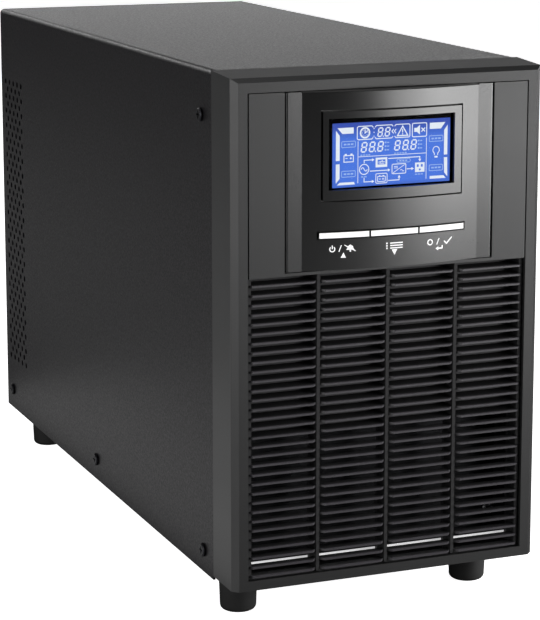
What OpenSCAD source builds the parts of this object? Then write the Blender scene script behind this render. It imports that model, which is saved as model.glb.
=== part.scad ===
// Tower uninterruptible power supply: steel case, moulded front with display, rear connector panel.
// Front frame used by most modules: x across the case, y depth behind the bezel's face,
// z height above the underside of the steel case. The origin is the centre of the footprint.

/* [Case] */
// Width across the steel cover
case_w = 190; // [190:1:220]
// Depth from the bezel's face to the cover's rear edge
case_d = 468; // [468:1:520]
// Height of the case above its underside
case_h = 294; // [294:1:330]
// Thickness of the steel sheet
sheet_t = 1.2; // [0.8:0.1:1.2]
// Height of the rubber feet
foot_h = 24; // [12:1:30]
// Radius of the feet where they meet the case
foot_r = 11.5; // [9:0.5:13]

/* [Vents in the sides] */
// Radius of one vent hole
vent_r = 2; // [1.5:0.1:2.3]
// Rows of vent holes
vent_rows = 20; // [8:1:20]
// Columns of vent holes in a full row
vent_cols = 5; // [3:1:5]
// Spacing between the columns
vent_dx = 9.9; // [9:0.1:10]
// Spacing between the rows
vent_dz = 10.69; // [9.5:0.1:10.7]

/* [Front] */
// Depth of the moulded bezel
bezel_d = 32; // [30:1:32]
// Chamfer on the bezel's upright front edges
bezel_chamfer = 3.5; // [2:0.5:5]
// Height of the bow of the control fascia
bow_rise = 5.5; // [4:0.5:6]
// Half the width of the bow
bow_half = 54; // [54:1:56]
// Louvres in one column of the grille
louvres = 32; // [20:1:32]
// Travel of a front key
key_travel = 0.8; // [0.4:0.1:0.8]

/* [Fans] */
// Side of a square fan frame
fan_size = 80; // [76:1:80]
// Number of blades on a rotor
fan_blades = 7; // [5:1:9]

/* [Hidden] */
$fn = 64;
eps = 0.1;
half_w = case_w / 2;
inner_x = half_w - sheet_t;          // inside face of the cover's sides
flange_x = inner_x - 0.2;            // outside face of the chassis flanges

// Front moulding, heights above the underside
bezel_bottom = 2.1;
face_top = case_h - 4.1;             // top of the bezel's flat face
slope_front = [3.5, case_h - 1.7];   // depth and height where the top slope meets its chamfer
opening_x = 86;                      // half width of the bezel's opening
opening_z = [7.8, case_h - 9.7];
moulding_t = 2.6;
surround_x = [64.2, opening_x - 0.8];
crossbar_z = [181.4, 183.1];
fascia_x = 63.5;
fascia_edge_r = 1.2;                 // rounding of the fascia's outer side edges
fascia_z = [183.6, 283.6];
fascia_t = 2.4;
bow_r = (bow_half * bow_half + bow_rise * bow_rise) / (2 * bow_rise);
bow_clip = bow_half + 0.4;             // the shell runs a little way into the flat strips
bow_top = 283;                       // top of the bowed part, under its dark seal

// Display stack, depths behind the bezel's face
lcd_frame_x = 42.4;
lcd_frame_z = [222.8, 272.3];
lcd_frame_gap = 1;
lcd_open_x = [-39.2, 37.8];
lcd_open_z = [228.5, 268.5];
window_y = [-0.8, 0.2];
panel_y = [0.4, 8.8];
board_y = [9, 10.6];
board_x = 60;
board_z = [188, 278];
boss_x = 57.5;
boss_z = [192, 274];

// Keys
key_z = [201.5, 205.2];
key_w = 29.4;
key_pitch = 30;
key_gap = 0.6;
key_proud = 0.6;                     // how far the keys stand out of the fascia
key_back = 4.2;                      // depth of the key's rear end
key_mid_z = (key_z[0] + key_z[1]) / 2;

// Grille
louvre_z0 = 9.75;
louvre_dz = 5.39;
louvre_y = [0.6, 6.1];
louvre_t = 1.3;
lip_y = [12.6, 13.8];                 // upright rear lip of the louvres above the battery door
lip_h = 2;
lip_from_z = 87;
post_w = 2;
grille_cols = 4;
col_w = 2 * surround_x[1] / grille_cols;
post_y = [2.5, 15];
edge_shift = 1.2;                    // the outermost louvre ends reach this much further out

// Chassis
plate_y = bezel_d + 0.6;             // front face of the inner front plate
shelf_z = 122;
rear_y = case_d - 1.5;               // outer face of the rear panel
rear_in = rear_y - sheet_t;
hole_r = 2.2;                        // clearance hole for the case screws
shank_r = 2;
case_screw_yz = [[48, 13.3], [251, 13.8], [453, 14.1], [49, 267.4]];
door_screw_x = 80.5;
door_screw_z = [24, 104];
foot_xy = [74.5, 46, 434];           // half spacing across, front depth, rear depth

// Rear panel layout, x and height of each connector's centre
fan_x = 44;
fan_z = 222;
fan_bore_r = fan_size / 2 - 2;
fan_hole = 35.75;
fan_hole_r = 2.3;
port_z = 276;
jack_x = -55;
usb_x = -20;
serial_x = 15;
epo_x = 52;
breaker_xz = [30, 153];
ground_xz = [70, 153];
stud_end = case_d + bow_rise + key_proud;  // as far behind the case as the keys stand in front
slot_xz = [-40, 153];
slot_screw_dx = 37.5;
bank_x = [-86, 38];
bank_z = [66, 122];
c19_xz = [62, 94];
c20_xz = [55, 36];
inlet_screw_dx = 25.5;
rear_edge_screws = [[-86, 8], [86, 8], [-86, 286], [86, 286]];

// Batteries and boards
battery = [151, 65, 94];
battery_y0 = 40;
battery_dy = 65.4;
battery_n = 6;
battery_z0 = 2.4;
main_z = 131.2;                      // underside of the main board
board_t = 1.6;
comms_z = 267.9;

// A block given by its spans along x, y and z
module block(xs, ys, zs)
  translate([xs[0], ys[0], zs[0]]) cube([xs[1] - xs[0], ys[1] - ys[0], zs[1] - zs[0]]);

// Places children in the front frame
module front() translate([0, -case_d / 2, foot_h]) children();

// A round bar along y, centred on [x, z]
module bar_y(r, ys, xz = [0, 0], fn = 64)
  translate([xz[0], ys[0], xz[1]]) rotate([-90, 0, 0]) cylinder(r = r, h = ys[1] - ys[0], $fn = fn);

// A round bar along x, centred on [y, z]
module bar_x(r, xs, yz)
  translate([xs[0], yz[0], yz[1]]) rotate([0, 90, 0]) cylinder(r = r, h = xs[1] - xs[0]);

// Both sides of the case
module both_sides() for (s = [0, 1]) mirror([s, 0, 0]) children();

// An outline in x and z, given a thickness along y
module plate_y(ys) translate([0, ys[1], 0]) rotate([90, 0, 0]) linear_extrude(ys[1] - ys[0]) children();

// Everything inside the bowed surface moved out by grow
module bow_body(grow, zs)
  translate([0, bow_r - bow_rise, zs[0]]) cylinder(r = bow_r + grow, h = zs[1] - zs[0], $fn = 256);

// Pan head screw along y, head's seat at y = 0, shank towards -y
module pan_screw_y(head_r, head_h, r, shank) {
  difference() {
    union() {
      bar_y(head_r, [0, head_h - 0.6]);
      translate([0, head_h - 0.6, 0]) rotate([-90, 0, 0]) cylinder(r1 = head_r, r2 = head_r - 0.8, h = 0.6);
      bar_y(r, [-shank, eps]);
    }
    for (a = [0, 90]) rotate([0, a, 0]) block([-0.5, 0.5], [head_h - 1, head_h + 1], [-2.2, 2.2]);
  }
}

// ---------------------------------------------------------------- steel case

module cover_outline(grow) {
  bend = 2 + grow;
  w = half_w - sheet_t + grow;
  top = case_h - sheet_t + grow;
  polygon([[-w, -1], [w, -1], [w, top - bend], [w - bend, top], [-w + bend, top], [-w, top - bend]]);
  for (s = [-1, 1]) translate([s * (w - bend), top - bend]) circle(r = bend);
}

module vent_cylinders() {
  y_last = case_d - 11;
  for (row = [0 : vent_rows - 1], col = [0 : vent_cols - 1])
    bar_x(vent_r, [-half_w - 1, -inner_x + 1], [y_last - col * vent_dx, 39.6 + row * vent_dz]);
  for (row = [0 : vent_rows - 2], col = [0 : vent_cols - 2])
    bar_x(vent_r, [-half_w - 1, -inner_x + 1],
          [y_last - (col + 0.5) * vent_dx, 39.6 + (row + 0.5) * vent_dz]);
}

module case_cover() color("#3a3a3c") front() difference() {
  plate_y([bezel_d, case_d]) cover_outline(sheet_t);
  plate_y([bezel_d - 1, case_d + 1]) cover_outline(0);
  block([-half_w - 1, half_w + 1], [0, case_d + 1], [-5, 0]);
  both_sides() {
    vent_cylinders();
    for (p = case_screw_yz) bar_x(hole_r, [-half_w - 1, -inner_x + 1], p);
  }
}

module base_pan() color("#8d9096") front() difference() {
  union() {
    block([-flange_x, flange_x], [34, 465], [0, sheet_t]);
    both_sides() block([-flange_x, -flange_x + sheet_t], [34, 465], [0, 20]);
    block([-90, 90], [463.8, 465], [0, 14]);
  }
  both_sides() for (i = [0 : 2]) bar_x(hole_r, [-half_w, -flange_x + 3], case_screw_yz[i]);
  both_sides() for (y = [foot_xy[1], foot_xy[2]])
    translate([-foot_xy[0], y, -1]) cylinder(r = hole_r, h = 4);
  for (p = [rear_edge_screws[0], rear_edge_screws[1]]) bar_y(hole_r, [460, 467], p);
}

module front_plate() color("#55585c") front() difference() {
  union() {
    block([-flange_x, flange_x], [plate_y, plate_y + sheet_t], [1.6, case_h - 4]);
    both_sides() block([-flange_x, -flange_x + sheet_t], [plate_y, 60], [24, case_h - 10]);
  }
  block([-76.5, 76.5], [plate_y - 1, plate_y + 3], [8, 110]);
  both_sides() for (i = [0 : 5])
    block([8, 76], [plate_y - 1, plate_y + 3], [128 + i * 7.5, 132.5 + i * 7.5]);
  block([-16, 16], [plate_y - 1, plate_y + 3], [236, 252]);
  both_sides() {
    bar_x(hole_r, [-half_w, -flange_x + 3], case_screw_yz[3]);
    for (z = door_screw_z) bar_y(hole_r, [plate_y - 1, plate_y + 3], [door_screw_x, z]);
  }
}

module battery_door() color("#b9bcc2") front() difference() {
  union() {
    block([-84, 84], [plate_y - 1.4, plate_y - 0.2], [12.4, 114]);
    block([-84, 84], [15.4, plate_y - 0.2], [12.4, 13.6]);
  }
  both_sides() for (z = door_screw_z) bar_y(hole_r, [30, 34], [door_screw_x, z]);
}

module divider_shelf() color("#8d9096") front() difference() {
  union() {
    block([-92.2, 92.2], [36, 430], [shelf_z, shelf_z + sheet_t]);
    both_sides() block([-92.2, -91], [36, 430], [shelf_z - 16, shelf_z + eps]);
  }
  block([44, 74], [30, 52], [shelf_z - 1, shelf_z + 3]);
}

module rear_panel() color("#3a3a3c") front() difference() {
  union() {
    block([-flange_x, flange_x], [rear_in, rear_y], [1.4, case_h - 1.4]);
    both_sides() block([-flange_x, -flange_x + sheet_t], [448, rear_y - eps], [24, case_h - 10]);
  }
  both_sides() {
    bar_y(fan_bore_r, [rear_in - 1, rear_y + 1], [fan_x, fan_z]);
    for (i = [-1, 1], j = [-1, 1])
      bar_y(fan_hole_r, [rear_in - 1, rear_y + 1], [fan_x + i * fan_hole, fan_z + j * fan_hole]);
  }
  rear_cutout([jack_x - 16.7, jack_x + 16.7], [269.4, 283.2]);
  rear_cutout([usb_x - 6.2, usb_x + 6.2], [269.8, 281.4]);
  rear_cutout([serial_x - 9.9, serial_x + 9.9], [270.8, 281.2]);
  rear_cutout([epo_x - 6.7, epo_x + 6.7], [270.6, 281]);
  rear_cutout([slot_xz[0] - 32, slot_xz[0] + 32], [140, 166]);
  rear_cutout([bank_x[0] + 1.8, bank_x[1] - 1.8], [bank_z[0] + 1.8, bank_z[1] - 1.8]);
  rear_cutout([c19_xz[0] - 16.2, c19_xz[0] + 16.2], [c19_xz[1] - 16.2, c19_xz[1] + 16.2]);
  rear_cutout([c20_xz[0] - 17, c20_xz[0] + 17], [c20_xz[1] - 12.7, c20_xz[1] + 12.7]);
  bar_y(6.2, [rear_in - 1, rear_y + 1], breaker_xz);
  bar_y(2.7, [rear_in - 1, rear_y + 1], ground_xz);
  for (p = panel_screw_xz()) bar_y(hole_r, [rear_in - 1, rear_y + 1], p);
  for (i = [0 : 11]) rear_cutout([-82 + i * 8, -79 + i * 8], [18, 52]);
}

module rear_cutout(xs, zs) block(xs, [rear_in - 1, rear_y + 1], zs);

function panel_screw_xz() = concat(
  rear_edge_screws,
  [for (s = [-1, 1]) [slot_xz[0] + s * slot_screw_dx, slot_xz[1]]],
  [for (s = [-1, 1]) [c20_xz[0] + s * inlet_screw_dx, c20_xz[1]]]
);

// ---------------------------------------------------------------- front mouldings

module bezel_frame() color("#4a4a4d") front() difference() {
  intersection() {
    translate([-half_w, 0, 0]) rotate([90, 0, 90]) linear_extrude(case_w)
      polygon([[0, bezel_bottom], [0, face_top], slope_front, [bezel_d, case_h], [bezel_d, bezel_bottom]]);
    linear_extrude(case_h + 1) polygon([
      [-half_w + bezel_chamfer, 0], [half_w - bezel_chamfer, 0], [half_w, bezel_chamfer],
      [half_w, bezel_d], [-half_w, bezel_d], [-half_w, bezel_chamfer]]);
  }
  difference() {
    block([-half_w + 2.4, half_w - 2.4], [moulding_t, bezel_d + 1], [bezel_bottom + 2.2, case_h - 4.6]);
    // return wall round the opening
    difference() {
      block([-opening_x - 1.6, opening_x + 1.6], [0, 18], [opening_z[0] - 1.6, opening_z[1] + 1.6]);
      block([-opening_x, opening_x], [-1, 20], opening_z);
    }
  }
  block([-opening_x, opening_x], [-1, 10], opening_z);
}

module front_surround() color("#4c4c4f") front() {
  both_sides() {
    block(surround_x, [0, moulding_t], [crossbar_z[0], opening_z[1] - 0.5]);
    block([surround_x[1] - 1.8, surround_x[1]], [moulding_t - eps, 9], [crossbar_z[0], opening_z[1] - 0.5]);
  }
  block([-surround_x[1], surround_x[1]], [0, 9], crossbar_z);
}

// Gap between two columns of louvres, with the louvre ends cut back at 45 degrees
module column_gap(x) translate([x, 0, 0]) linear_extrude(case_h)
  polygon([[-1, 3.3], [1, 3.3], [3.8, 0.5], [3.8, 0], [-3.8, 0], [-3.8, 0.5]]);

module louvre(z) {
  depth = z > lip_from_z ? lip_y[1] : louvre_y[1];
  half_t = louvre_t / 2;
  translate([-surround_x[1], 0, z]) rotate([90, 0, 90]) linear_extrude(2 * surround_x[1]) union() {
    polygon([[louvre_y[0], -half_t], [depth, -half_t], [depth, half_t], [louvre_y[0] + 0.3, half_t],
             [louvre_y[0], half_t - 0.3]]);
    if (z > lip_from_z) translate([lip_y[0], -half_t]) square([lip_y[1] - lip_y[0], half_t + lip_h]);
  }
}

module front_grille() color("#2e2e30") front() {
  difference() {
    for (i = [0 : louvres - 1]) louvre(louvre_z0 + i * louvre_dz);
    for (c = [1 : grille_cols - 1]) column_gap(-surround_x[1] + c * col_w);
    both_sides() column_gap(surround_x[1] + edge_shift);
  }
  for (c = [1 : grille_cols - 1])
    block([-surround_x[1] + c * col_w - post_w / 2, -surround_x[1] + c * col_w + post_w / 2],
          post_y, [8.3, 181]);
  both_sides() block([surround_x[1] - post_w, surround_x[1]], post_y, [8.3, 181]);
  block([-surround_x[1], surround_x[1]], [9.5, post_y[1]], [179.6, 181]);
}

module control_fascia() color("#38383b") front() difference() {
  union() {
    intersection() {
      difference() {
        bow_body(0, fascia_z);
        bow_body(-fascia_t, [fascia_z[0] - 1, fascia_z[1] + 1]);
      }
      block([-bow_clip, bow_clip], [-10, 6], fascia_z);
    }
    // end walls under and over the shell
    intersection() {
      bow_body(-1, fascia_z);
      union() {
        block([-bow_clip, bow_clip], [-10, 7], [fascia_z[0], fascia_z[0] + 1.8]);
        block([-bow_clip, bow_clip], [-10, fascia_t], [279.4, 280.8]);
      }
    }
    both_sides() {
      translate([0, 0, fascia_z[0]]) linear_extrude(fascia_z[1] - fascia_z[0]) union() {
        translate([bow_clip - 1, 0]) square([fascia_x - fascia_edge_r - bow_clip + 1, fascia_t]);
        translate([fascia_x - fascia_edge_r, fascia_edge_r]) circle(r = fascia_edge_r);
        translate([fascia_x - 1.6, fascia_edge_r]) square([1.6, 7 - fascia_edge_r]);
      }
      for (z = boss_z) bar_y(3, [fascia_t - eps, board_y[0]], [boss_x, z]);
    }
  }
  block([-lcd_frame_x - lcd_frame_gap, lcd_frame_x + lcd_frame_gap], [-8, 8],
        [lcd_frame_z[0] - lcd_frame_gap, lcd_frame_z[1] + lcd_frame_gap]);
  block([-key_pitch * 1.5 - key_gap, key_pitch * 1.5 + key_gap], [-8, 8],
        [key_z[0] - key_gap, key_z[1] + key_gap]);
  block([-bow_clip, bow_clip], [-10, fascia_t + eps], [bow_top, fascia_z[1] + 1]);
  both_sides()
    for (z = boss_z) bar_y(1.25, [3.5, board_y[0] + 1], [boss_x, z]);
}

module fascia_seal() color("#151516") front() {
  block([-60, 60], [2.8, 8], [279, 284]);
  // tongue over the bow's top edge
  intersection() {
    bow_body(-0.5, [bow_top + eps, 284]);
    block([-bow_half, bow_half], [-10, 2.9], [bow_top + eps, 284]);
  }
}

module lcd_frame() color("#3c3c3f") front() difference() {
  union() {
    intersection() {
      bow_body(0.5, lcd_frame_z);
      block([-lcd_frame_x, lcd_frame_x], [-10, 1.1], lcd_frame_z);
    }
    block([-46, 46], [1, 2.2], [lcd_frame_z[0] - 3, lcd_frame_z[1] + 3]);
  }
  block(lcd_open_x, [-10, 4], lcd_open_z);
  block([lcd_open_x[0] - 1.3, lcd_open_x[1] + 1.3], [window_y[0], 4],
        [lcd_open_z[0] - 1.3, lcd_open_z[1] + 1.3]);
}

module lcd_window() color("#a9c4d8", 0.4) front()
  block([lcd_open_x[0] - 1.2, lcd_open_x[1] + 1.2], window_y, [lcd_open_z[0] - 1.2, lcd_open_z[1] + 1.2]);

module lcd_panel() color("#3f6fd8") front() {
  block([lcd_open_x[0] - 0.8, lcd_open_x[1] + 0.8], [panel_y[0], 2.4],
        [lcd_open_z[0] - 0.8, lcd_open_z[1] + 0.8]);
  block([lcd_open_x[0] - 3, lcd_open_x[1] + 3], [2.4, panel_y[1] + 0.2],
        [lcd_open_z[0] - 3, lcd_open_z[1] + 3]);
}

module display_board() color("#1f6b3a") front() {
  difference() {
    block([-board_x, board_x], board_y, board_z);
    both_sides() for (z = boss_z) bar_y(1.6, [board_y[0] - 1, board_y[1] + 1], [boss_x, z]);
  }
  // ribbon header and two small packages on the rear face
  block([-11, 11], [board_y[1] - eps, 16], [241, 247]);
  block([20, 34], [board_y[1] - eps, 12.4], [216, 230]);
  block([-40, -28], [board_y[1] - eps, 12], [214, 222]);
}

module display_screws() color("#b9bcc2") front()
  both_sides() for (z = boss_z)
    translate([boss_x, board_y[1], z]) pan_screw_y(2.6, 1.6, 1.15, 6);

module tact_switches() color("#222224") front()
  for (i = [-1 : 1]) difference() {
    block([i * key_pitch - 3, i * key_pitch + 3], [5.5, board_y[0]], [key_mid_z - 3, key_mid_z + 3]);
    bar_y(2.05, [5, board_y[0] + 1], [i * key_pitch, key_mid_z]);
  }

// One front key: bar through the fascia, flange behind it and stem to the actuator
module key_cap(x) {
  intersection() {
    bow_body(key_proud, key_z);
    block([x - key_w / 2, x + key_w / 2], [-10, 2.4], key_z);
  }
  block([x - key_w / 2, x + key_w / 2], [1.2, 2.4], [key_z[0] - 2, key_z[1] + 2]);
  bar_y(2.4, [2.3, key_back], [x, key_mid_z]);
}

module actuator(x) bar_y(1.75, [key_back, board_y[0] - key_travel - 0.1], [x, key_mid_z]);

module key_up() color("#f4f4f2") front() key_cap(-key_pitch);
module key_down() color("#f4f4f2") front() key_cap(0);
module key_enter() color("#f4f4f2") front() key_cap(key_pitch);
module actuator_up() color("#101012") front() actuator(-key_pitch);
module actuator_down() color("#101012") front() actuator(0);
module actuator_enter() color("#101012") front() actuator(key_pitch);

module display_ribbon() color("#9a9ca0") front() {
  block([-9, 9], [16, 58], [243.4, 244.4]);
  block([-9, 9], [57, 58], [138, 244.4]);
}

// ---------------------------------------------------------------- feet and fasteners

module rubber_feet() color("#1b1b1d") translate([0, -case_d / 2, 0])
  both_sides() for (y = [foot_xy[1], foot_xy[2]]) translate([-foot_xy[0], y, 0]) rotate_extrude()
    difference() {
      union() {
        polygon([[0, 0], [foot_r - 3.8, 0], [foot_r - 0.8, 3], [foot_r, foot_h], [0, foot_h]]);
        translate([foot_r - 3.8, 3]) circle(r = 3);
      }
      translate([-5, -1]) square([5, foot_h + 2]);
      square([2.3, foot_h + 1]);
      translate([0, -1]) square([5, 9]);
    }

module foot_screws() color("#a5a8ad") translate([0, -case_d / 2, 0])
  both_sides() for (y = [foot_xy[1], foot_xy[2]]) translate([-foot_xy[0], y, 0])
    difference() {
      union() {
        translate([0, 0, 5.4]) cylinder(r = 4.2, h = 2.6);
        translate([0, 0, 7.9]) cylinder(r = shank_r, h = foot_h - 5.8);
      }
      for (a = [0, 90]) rotate([0, 0, a]) block([-0.5, 0.5], [-2.4, 2.4], [5, 6.8]);
    }

module case_screws() color("#2a2a2c") front()
  both_sides() for (p = case_screw_yz) translate([half_w, p[0], p[1]]) rotate([0, 0, -90])
    pan_screw_y(4, 1.8, shank_r, 6);

module panel_screws() color("#a5a8ad") front() {
  for (p = rear_edge_screws) translate([p[0], rear_y, p[1]]) pan_screw_y(4, 2.2, shank_r, 7);
  for (s = [-1, 1]) {
    translate([slot_xz[0] + s * slot_screw_dx, rear_y + sheet_t, slot_xz[1]])
      pan_screw_y(4, 2.2, shank_r, 7);
    translate([c20_xz[0] + s * inlet_screw_dx, rear_y + 2.4, c20_xz[1]])
      pan_screw_y(3.4, 2.2, shank_r, 8);
  }
  both_sides() for (z = door_screw_z) translate([door_screw_x, plate_y - 1.4, z]) rotate([0, 0, 180])
    pan_screw_y(4, 2.2, shank_r, 6);
}

// ---------------------------------------------------------------- batteries

module batteries() color("#2b2d31") front()
  for (i = [0 : battery_n - 1]) translate([0, battery_y0 + i * battery_dy, battery_z0]) {
    block([-battery[0] / 2, battery[0] / 2], [0, battery[1]], [0, battery[2] - 6]);
    block([-battery[0] / 2 + 1, battery[0] / 2 - 1], [1, battery[1] - 1], [battery[2] - 7, battery[2]]);
    both_sides() block([58, 64.3], [10, 10.8], [battery[2] - 1, battery[2] + 7.9]);
  }

module battery_rails() color("#8d9096") front()
  both_sides() {
    block([77, 78.2], [38, 436], [sheet_t, 42]);
    block([78.1, 90], [38, 436], [sheet_t, sheet_t * 2]);
  }

// Sleeved straps that join neighbouring blocks in series, on alternate sides
module battery_links() color("#b3261e") front()
  for (i = [0 : battery_n - 2]) {
    side = i % 2 == 0 ? 1 : -1;
    y0 = battery_y0 + i * battery_dy + 10.9;
    z0 = battery_z0 + battery[2];
    difference() {
      block([side * 61.2 - 4, side * 61.2 + 4], [y0 - 1.5, y0 + battery_dy + 1.5], [z0 + 2, z0 + 9]);
      for (k = [0, 1])
        block([side * 61.2 - 3.4, side * 61.2 + 3.4], [y0 - 1.1 + k * battery_dy, y0 + 0.1 + k * battery_dy],
              [z0, z0 + 8.2]);
    }
  }

// ---------------------------------------------------------------- power electronics

module main_board() color("#1f6b3a") front() {
  difference() {
    block([-84, 84], [50, 420], [main_z, main_z + board_t]);
    for (x = [-79, 79], y = [68, 180, 300, 412]) translate([x, y, main_z - 1]) cylinder(r = 1.8, h = 4);
  }
  block([-11, 11], [54, 61], [main_z + board_t - eps, 138]);
}

module board_standoffs() color("#c9a24a") front()
  for (x = [-79, 79], y = [68, 180, 300, 412]) translate([x, y, 0]) {
    translate([0, 0, shelf_z + sheet_t]) cylinder(r = 3.4, h = main_z - shelf_z - sheet_t, $fn = 6);
    translate([0, 0, main_z - eps]) cylinder(r = 1.5, h = board_t + eps * 2);
    translate([0, 0, main_z + board_t]) cylinder(r = 2.8, h = 2);
  }

// Comb section of an extruded heatsink, standing on the board, fins outwards
module heatsink_section() {
  square([5, 72]);
  for (i = [0 : 7]) translate([4.9, 1 + i * 9.7]) square([24, 2]);
}

module heatsinks() color("#9b9ea3") front()
  both_sides() translate([38, 300, main_z + board_t]) rotate([90, 0, 0])
    linear_extrude(200) heatsink_section();

module power_transistors() color("#1a1a1c") front()
  both_sides() for (i = [0 : 4]) {
    y = 118 + i * 38;
    block([33, 38], [y, y + 16], [main_z + board_t + 16, main_z + board_t + 37]);
    for (k = [-1 : 1])
      block([35, 36], [y + 7.3 + k * 5.4, y + 8.7 + k * 5.4], [main_z + board_t, main_z + board_t + 16.1]);
  }

module bulk_capacitors() color("#1d2f55") front()
  both_sides() for (i = [0 : 3]) translate([15.6, 120 + i * 34, main_z + board_t]) {
    cylinder(r = 15, h = 47);
    translate([0, 0, 46.9]) cylinder(r = 13.4, h = 1.1);
  }

module chokes() color("#b87333") front()
  both_sides() translate([46, 340, main_z + board_t + 10]) {
    rotate_extrude() translate([17, 0]) circle(r = 9.9);
    translate([0, 0, -10]) cylinder(r = 12, h = 3);
  }

module charger_transformer() color("#c8b24a") front() {
  block([-72, -30], [374, 412], [main_z + board_t, main_z + board_t + 8]);
  block([-70, -32], [376, 410], [main_z + board_t + 7.9, main_z + board_t + 36]);
  block([-64, -38], [371, 415], [main_z + board_t + 10, main_z + board_t + 32]);
}

module relays() color("#23405c") front()
  for (i = [0 : 3])
    block([14 + i * 17, 28 + i * 17], [378, 404], [main_z + board_t, main_z + board_t + 18]);

module control_board() color("#1f6b3a") front() {
  block([-board_t / 2, board_t / 2], [288, 366], [main_z + board_t + 8, main_z + board_t + 80]);
  block([-4, 4], [294, 360], [main_z + board_t, main_z + board_t + 9]);
  block([board_t / 2 - eps, 2.4], [310, 330], [main_z + board_t + 34, main_z + board_t + 54]);
}

module comms_board() color("#1f6b3a") front() {
  block([-78, 66], [425, 464.8], [comms_z, comms_z + board_t]);
  block([-30, -18], [430, 442], [comms_z + board_t - eps, comms_z + board_t + 2]);
}

// ---------------------------------------------------------------- fans

module fan_frame(x) translate([x, 0, fan_z]) difference() {
  union() {
    difference() {
      block([-fan_size / 2, fan_size / 2], [rear_in - 25, rear_in], [-fan_size / 2, fan_size / 2]);
      bar_y(fan_bore_r, [rear_in - 26, rear_in + 1]);
    }
    bar_y(16, [rear_in - 3, rear_in]);
    for (a = [45 : 90 : 315]) rotate([0, a, 0]) block([10, fan_bore_r + 1], [rear_in - 3, rear_in], [-1.8, 1.8]);
    bar_y(4.5, [rear_in - 18, rear_in - 2]);
    bar_y(12, [rear_in - 15, rear_in - 7]);
  }
  bar_y(1.56, [rear_in - 19, rear_in - 1]);
  for (i = [-1, 1], j = [-1, 1]) bar_y(2.15, [rear_in - 26, rear_in + 1], [i * fan_hole, j * fan_hole]);
  // waist between the two flanges of the frame
  for (a = [0 : 90 : 270]) rotate([0, a, 0])
    block([fan_size / 2 - 0.8, fan_size / 2 + 1], [rear_in - 20, rear_in - 5], [-27, 27]);
}

module fan_blade() intersection() {
  translate([0, rear_in - 14.5, 0]) rotate([38, 0, 0])
    block([16.2, fan_bore_r + 2], [-0.9, 0.9], [-14, 14]);
  bar_y(fan_bore_r - 1, [rear_in - 22.6, rear_in - 6.4]);
}

module fan_rotor(x) translate([x, 0, fan_z]) {
  difference() {
    bar_y(17, [rear_in - 23.5, rear_in - 5]);
    bar_y(15.5, [rear_in - 22, rear_in - 4]);
  }
  bar_y(1.5, [rear_in - 22.5, rear_in - 4]);
  for (i = [0 : fan_blades - 1]) rotate([0, i * 360 / fan_blades, 0]) fan_blade();
}

module fan_frame_left() color("#202022") front() fan_frame(-fan_x);
module fan_frame_right() color("#202022") front() fan_frame(fan_x);
module fan_rotor_left() color("#2a2a2d") front() fan_rotor(-fan_x);
module fan_rotor_right() color("#2a2a2d") front() fan_rotor(fan_x);

module fan_guards() color("#c4c7cc") front()
  both_sides() translate([fan_x, 0, fan_z]) difference() {
    union() {
      for (r = [11, 19, 27, 35]) translate([0, rear_y + 2.5, 0]) rotate([-90, 0, 0])
        rotate_extrude() translate([r, 0]) circle(r = 0.9, $fn = 24);
      for (a = [45 : 90 : 315]) rotate([0, a, 0]) {
        bar_x(0.9, [10.2, fan_hole * sqrt(2) - 3], [rear_y + 1.1, 0]);
        bar_y(4.4, [rear_y, rear_y + 1.8], [fan_hole * sqrt(2), 0]);
      }
    }
    for (i = [-1, 1], j = [-1, 1])
      bar_y(fan_hole_r, [rear_y - 1, rear_y + 3], [i * fan_hole, j * fan_hole]);
  }

module fan_screws() color("#2a2a2c") front()
  both_sides() for (i = [-1, 1], j = [-1, 1])
    translate([fan_x + i * fan_hole, rear_y + 1.8, fan_z + j * fan_hole])
      pan_screw_y(3.9, 2.2, shank_r, 12);

// ---------------------------------------------------------------- rear connectors

module power_inlet() color("#161618") front() difference() {
  union() {
    block([c20_xz[0] - 30, c20_xz[0] + 30], [rear_y, rear_y + 2.4], [c20_xz[1] - 15, c20_xz[1] + 15]);
    block([c20_xz[0] - 16.8, c20_xz[0] + 16.8], [rear_y - 28, rear_y + eps],
          [c20_xz[1] - 12.5, c20_xz[1] + 12.5]);
  }
  block([c20_xz[0] - 14.2, c20_xz[0] + 14.2], [rear_y - 17.6, rear_y + 3],
        [c20_xz[1] - 10.3, c20_xz[1] + 10.3]);
  for (s = [-1, 1])
    bar_y(hole_r, [rear_y - 1, rear_y + 3], [c20_xz[0] + s * inlet_screw_dx, c20_xz[1]]);
}

module inlet_pins() color("#d8c27a") front()
  for (p = [[-6.5, -4], [6.5, -4], [0, 4]])
    block([c20_xz[0] + p[0] - 4, c20_xz[0] + p[0] + 4], [rear_y - 17.6, rear_y - 2],
          [c20_xz[1] + p[1] - 1, c20_xz[1] + p[1] + 1]);

// Outline of an outlet's moat: a rectangle with two corners cut off
module keyed_outline(w, h, cut)
  polygon([[-w / 2, -h / 2], [w / 2, -h / 2], [w / 2, h / 2 - cut], [w / 2 - cut, h / 2],
           [-w / 2 + cut, h / 2], [-w / 2, h / 2 - cut]]);

// Space removed from a block to leave one outlet: a moat round a boss, and three slots
module outlet_recess(w, h, slot) {
  difference() {
    plate_y([rear_y - 12, rear_y + 3]) keyed_outline(w, h, 5);
    plate_y([rear_y - 13, rear_y + 4]) keyed_outline(w - 4.6, h - 4.6, 4);
  }
  for (p = [[-w * 0.27, -1.6], [w * 0.27, -1.6], [0, 2.2]])
    block([p[0] - slot[0] / 2, p[0] + slot[0] / 2], [rear_y - 12, rear_y + 3],
          [p[1] - slot[1] / 2, p[1] + slot[1] / 2]);
}

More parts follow.
